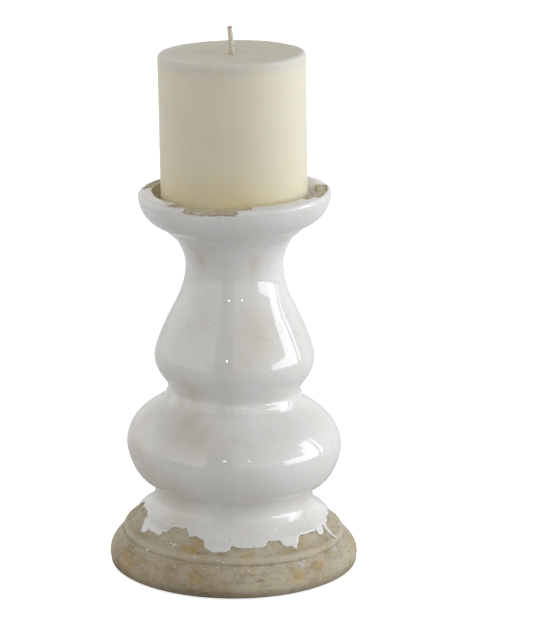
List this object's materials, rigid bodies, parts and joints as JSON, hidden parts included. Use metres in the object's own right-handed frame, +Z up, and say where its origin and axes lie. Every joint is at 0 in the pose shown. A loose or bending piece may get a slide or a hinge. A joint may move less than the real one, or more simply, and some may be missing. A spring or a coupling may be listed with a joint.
{
  "type": "pillar candle holder",
  "caption": "Turned double-bulb pillar candle holder in crazed white glaze over bare earthenware, with a loose ivory pillar candle standing in its shallow dish.",
  "frame": {"origin": "middle of the footprint, on the surface that the felt pads stand on", "axes": "+Z up along the holder's axis of revolution and its longest side, -Y towards the front, and the candle leans towards -X"},
  "size_m": [0.132, 0.132, 0.2866],
  "materials": {
    "earthenware": "unglazed, matt, stained",
    "white_glaze": "glossy, crazed",
    "felt": "pressed wool felt",
    "ivory_wax": "smooth paraffin wax, satin",
    "cotton_wick": "braided cotton, waxed",
    "tinned_steel": "tinned sheet"
  },
  "bodies": {
    "holder": {"foot_section": "earthenware", "lower_bulb_section": "earthenware", "upper_bulb_section": "earthenware", "dish_section": "earthenware", "glaze_coat": "white_glaze", "felt_pad_1": "felt", "felt_pad_2": "felt", "felt_pad_3": "felt", "felt_pad_4": "felt"},
    "candle": {"candle_wax": "ivory_wax", "candle_wick": "cotton_wick", "wick_clip": "tinned_steel"}
  },
  "joints": [
    {"name": "candle_lift", "type": "slide", "parent": "holder", "child": "candle", "axis": [0, 0, 1], "range_m": [0, 0.1]}
  ]
}
